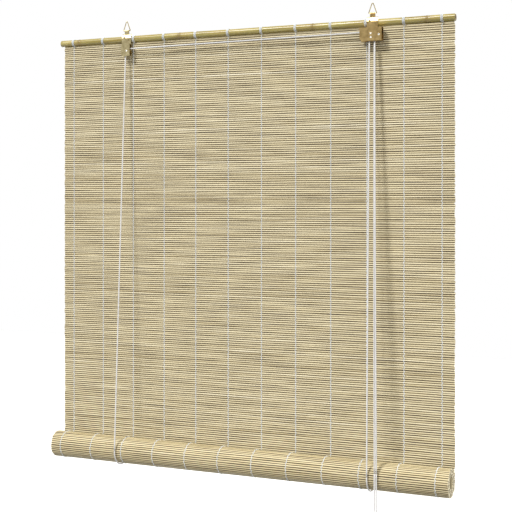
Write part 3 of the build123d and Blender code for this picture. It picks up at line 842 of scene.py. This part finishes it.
def hangingSlats():
    rng = random.Random(matSizes["seed"])
    low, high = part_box("hanging_slats")
    y = (low.y + high.y) / 2
    count = int((high.z - low.z - matSizes["slatHeight"]) / matSizes["pitch"] + 0.001) + 1
    spacing = (high.z - low.z - matSizes["slatHeight"]) / (count - 1)
    shape = newShape()
    for i, tone in enumerate(slatTones(rng, count)):
        z = high.z - matSizes["slatHeight"] / 2 - spacing * i
        stretch = matSizes["headReach"] if i == 0 else 0.0
        addSlat(shape, rng, lambda x, up, back: (x, y + back, z + up + (stretch if up > 0 else 0)), tone,
                matSizes["thickness"], matSizes["stations"])
    piece = meshPiece("hangingSlats", shape, slatMaterial, smooth=True)
    fixNormals(piece)
    sharpenAbove(piece, 50)
    place(piece, "head", "slats", "hanging_slats")
    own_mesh(piece)
    print("hanging slats:", count)
    return count, spacing, y, high.z


def spiral(length):
    # the turn reached at that length along the roll's spiral
    step = matSizes["rollStep"]
    k = step / 2
    return (rollRadius - math.sqrt(rollRadius ** 2 - 4 * k * length / (2 * math.pi))) / (2 * k)


def onRoll(x, length, back):
    turn = spiral(max(length, 0.0))
    angle = 2 * math.pi * turn
    radius = rollRadius - matSizes["rollStep"] * turn + back
    return (x, rollMiddle.y + radius * math.cos(angle), rollMiddle.z - radius * math.sin(angle))


def rollLength():
    turns = matSizes["rollTurns"]
    return 2 * math.pi * (rollRadius * turns - matSizes["rollStep"] / 2 * turns ** 2)


def rolledSlats():
    rng = random.Random(matSizes["seed"] + 1)
    pitch = matSizes["pitch"]
    count = int(rollLength() / pitch)
    shape = newShape()
    outerCount = int(2 * math.pi * rollRadius * 1.15 / pitch)
    for i, tone in enumerate(slatTones(rng, count)):
        middle = pitch * (i + 0.6)
        stations = matSizes["stations"] if i < outerCount else 5
        bulge = waver(rng, 0.6)
        lift = 0.0002 if i < outerCount else 0.0

        def placeAt(x, up, back):
            turn = spiral(middle)
            angle = 2 * math.pi * turn
            radius = rollRadius - matSizes["rollStep"] * turn + back + lift * bulge(x)
            outY, outZ = math.cos(angle), -math.sin(angle)
            return (x, rollMiddle.y + radius * outY + up * math.sin(angle),
                    rollMiddle.z + radius * outZ + up * math.cos(angle))

        addSlat(shape, rng, placeAt, tone, matSizes["rollThickness"], stations)
    piece = meshPiece("rolledSlats", shape, rollMaterial, smooth=True)
    fixNormals(piece)
    sharpenAbove(piece, 50)
    place(piece, "roll", "slats", "rolled_mat")
    print("rolled slats:", count)
    return count


def warpX():
    low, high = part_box("hanging_threads")
    inset = matSizes["strandApart"] / 2 + 0.0003
    first, last = low.x + inset, high.x - inset
    return [first + (last - first) * i / (matSizes["warpLines"] - 1) for i in range(matSizes["warpLines"])]


def addStrands(shape, x, count, pitch, placeAt, half, rng):
    # two strands that change sides between every two slats
    radius = matSizes["strandRadius"]
    for strand in (-1, 1):
        line = []
        for i in range(count):
            side = strand if i % 2 else -strand
            sway = rng.uniform(-0.00012, 0.00012)
            for share in (-0.27, 0.27):
                offset = x + strand * matSizes["strandApart"] / 2 + sway
                line.append(Vector(placeAt(offset, (i + 0.5 + share) * pitch, side * (half + radius * 0.8))))
        tubeAlong(shape, line, radius, 5)


def warpThreads(count, spacing, y, top):
    rng = random.Random(matSizes["seed"] + 2)
    half = matSizes["thickness"] / 2
    shape = newShape()
    for x in warpX():
        addStrands(shape, x, count, spacing, lambda sx, length, back: (sx, y + back, top - length), half, rng)
    piece = meshPiece("warpThreads", shape, threadMaterial, smooth=True)
    place(piece, "head", "thread", "hanging_threads")
    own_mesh(piece)


def rolledThreads(count):
    rng = random.Random(matSizes["seed"] + 3)
    half = matSizes["rollThickness"] / 2
    pitch = matSizes["pitch"]
    shape = newShape()
    for x in warpX():
        addStrands(shape, x, count, pitch, onRoll, half, rng)
    piece = meshPiece("rolledThreads", shape, threadMaterial, smooth=True)
    place(piece, "roll", "thread")


# head pole

poleSizes = {
    "ringPlaces": [-0.363, -0.137, 0.137, 0.350],
    "ringHeight": 0.0004,
    "ringHalf": 0.0022,
    "blushLength": 0.007,
    "bore": 0.0021,
    "boreDepth": 0.009,
    "sides": 36,
    "spacing": 0.006,
    "seed": 5,
    "wrapTurns": 4,
    "wrapStep": 0.00125,
    "wrapStrand": 0.00048,
}


def headPole():
    rng = random.Random(poleSizes["seed"])
    low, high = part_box("head_pole")
    radius = (high.z - low.z) / 2 - 0.0005
    middleY = (low.y + high.y) / 2
    middleZ = (low.z + high.z) / 2
    places = []
    x = low.x
    while x < high.x - 0.002:
        places.append(x)
        x += poleSizes["spacing"]
    for ring in poleSizes["ringPlaces"]:
        places += [ring + poleSizes["ringHalf"] * k / 4 for k in range(-6, 7)]
    places = sorted(places + [low.x + 0.0006, high.x - 0.0006, high.x])
    thick = waver(rng, 0.4)
    swayY = waver(rng, 0.7, 3)
    swayZ = waver(rng, 0.7, 3)
    sides = poleSizes["sides"]
    shape = newShape()
    rings = []

    def ringAt(x, size, blushAndBoreShade=0.0, sway=True):
        y = middleY + (0.0003 * swayY(x) if sway else 0)
        z = middleZ + (0.00035 * swayZ(x) if sway else 0)
        ring = []
        for k in range(sides):
            angle = 2 * math.pi * k / sides
            oval = 1 + 0.012 * math.cos(2 * angle + 3 * x)
            ring.append((x, y + size * oval * math.cos(angle), z + size * oval * math.sin(angle)))
        rings.append(ring)
        shape["tones"].extend([blushAndBoreShade] * sides)

    bore = poleSizes["bore"]
    # painted shade: the bore's walls get the growth-ring brown at 0.8 to 0.9, as shade inside the hollow end
    ringAt(low.x + poleSizes["boreDepth"], bore * 0.8, 0.9)
    ringAt(low.x + 0.0002, bore, 0.8)
    for x in places:
        nearest = min(poleSizes["ringPlaces"], key=lambda p: abs(p - x))
        away = (x - nearest) / poleSizes["ringHalf"]
        ridge = poleSizes["ringHeight"] * math.exp(-away * away * 1.6)
        groove = 0.00025 * math.exp(-((away - 1.0) / 0.35) ** 2)
        size = radius - 0.0002 + 0.0002 * thick(x) + ridge - groove
        edge = min(x - low.x, high.x - x)
        if edge < 0.0005:
            size -= 0.0006
        blushAndBoreShade = 0.75 * math.exp(-abs(x - nearest) / poleSizes["blushLength"] * 1.4)
        if edge < 0.0005:
            blushAndBoreShade = 0.55
        ringAt(x, size, min(blushAndBoreShade, 1.0))
    # painted shade inside the hollow end, as at the other end
    ringAt(high.x - 0.0002, bore, 0.8)
    ringAt(high.x - poleSizes["boreDepth"], bore * 0.8, 0.9)
    skinRings(shape, rings)
    piece = meshPiece("headPole", shape, caneMaterial, smooth=True)
    fixNormals(piece)
    sharpenAbove(piece, 45)
    place(piece, "head", "bamboo", "head_pole")
    return radius, middleY, middleZ


def poleWraps(radius, y, z, matTop):
    # the warp strands go round the pole in close turns before they take the first slat
    strapHalf = 0.01025
    straps = [middleOf("left_ring").x, middleOf("right_ring").x]
    length = poleSizes["wrapTurns"] * poleSizes["wrapStep"]
    shape = newShape()
    for x in warpX():
        middle = x
        for strap in straps:
            if abs(x - strap) < strapHalf + length / 2 + 0.0005:
                middle = strap + math.copysign(strapHalf + length / 2 + 0.0009, x - strap)
        line = []
        around = radius + poleSizes["wrapStrand"] * 0.8
        steps = int(poleSizes["wrapTurns"] * 28)
        for i in range(steps + 1):
            angle = -math.pi / 2 + 2 * math.pi * poleSizes["wrapTurns"] * i / steps
            along = middle - length / 2 + length * i / steps
            line.append(Vector((along, y + around * math.cos(angle), z + around * math.sin(angle))))
        tubeAlong(shape, line, poleSizes["wrapStrand"], 6)
        for side in (-1, 1):
            start = Vector((middle + side * length / 2 * 0.8, y, z - around))
            end = Vector((x + side * matSizes["strandApart"] / 2, y - side * 0.001, matTop - 0.0006))
            tubeAlong(shape, [start, start.lerp(end, 0.5), end], matSizes["strandRadius"], 6)
    piece = meshPiece("poleThreadWraps", shape, threadMaterial, smooth=True)
    place(piece, "head", "thread", "thread_wraps")


# fittings

def finishNodes():
    # the pressed and turned metal keeps its shape, with its edges broken a little
    finishes = {
        pulleyMaterial: ["pulley_bracket"],
        lockMaterial: ["lock_bracket"],
        wireMaterial: ["left_ring", "right_ring"],
        rivetMaterial: ["pulley_axle", "roller_rivet", "anvil_rivet", "cam_rivet"],
        nailMaterial: ["pulley_bracket_nails", "lock_bracket_nails", "cord_tacks"],
        wheelMaterial: ["pulley_wheel", "lock_roller", "lock_cam"],
        lathMaterial: ["bottom_lath"],
    }
    breaks = {"pulley_bracket": 0.00018, "lock_bracket": 0.00018, "bottom_lath": 0.0006}
    for material, names in finishes.items():
        for name in names:
            node = frame["nodes"][name]
            node.data.materials.clear()
            node.data.materials.append(material)
            bevel = node.modifiers.new("brokenEdge", "BEVEL")
            bevel.width = breaks.get(name, 0.00012)
            bevel.segments = 2
            bevel.limit_method = "ANGLE"
            bevel.angle_limit = math.radians(40)


cordMaterial = braidedCord()
slatMaterial = splitBamboo("splitBamboo", bambooLook["matStops"])
rollMaterial = splitBamboo("splitBambooRoll", bambooLook["rollStops"])
lathMaterial = splitBamboo("sawnBambooLath", bambooLook["matStops"], lift=0.55)
caneMaterial = caneSkin()
threadMaterial = warpCotton()
pulleyMaterial = platedMetal("palePlatedSteel", [(0.3, "#b5a67c"), (0.7, "#cfc297")], (0.24, 0.42), 0.2)
lockMaterial = platedMetal("brassPlatedSteel", [(0.3, "#a88d5c"), (0.7, "#c2a873")], (0.22, 0.42), 0.2)
wireMaterial = platedMetal("brassPlatedWire", [(0.3, "#9c8a56"), (0.7, "#c0ae7a")], (0.2, 0.34), 0.1)
rivetMaterial = platedMetal("nickelPlatedSteel", [(0.3, "#d8d4c8"), (0.7, "#efeee8")], (0.12, 0.25), 0.1)
nailMaterial = platedMetal("brassPlatedNail", [(0.3, "#8d7748"), (0.7, "#b39f6c")], (0.25, 0.4), 0.1)
wheelMaterial = platedMetal("turnedBrass", [(0.3, "#a88b4c"), (0.7, "#c9ae70")], (0.2, 0.35), 0.4)

rollMiddle = Vector(joints["roll_spin"]["pos_m"])
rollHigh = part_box("rolled_mat")[1]
rollRadius = rollHigh.y - rollMiddle.y - 0.00095
matEdge = (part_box("hanging_slats")[0].x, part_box("hanging_slats")[1].x)
pullMiddle = middleOf("cord_hank")

makeCamera()
makeLight()
makeFloor()
print("camera, light and floor are made")

liftCords()
headCords()
cordEnds()
pullCords()
print("cords are made")

slatCount, slatSpacing, matY, matTop = hangingSlats()
warpThreads(slatCount, slatSpacing, matY, matTop)
rolledCount = rolledSlats()
rolledThreads(rolledCount)
print("mat is made")

poleRadius, poleY, poleZ = headPole()
poleWraps(poleRadius, poleY, poleZ, matTop)
finishNodes()
print("pole and fittings are made")
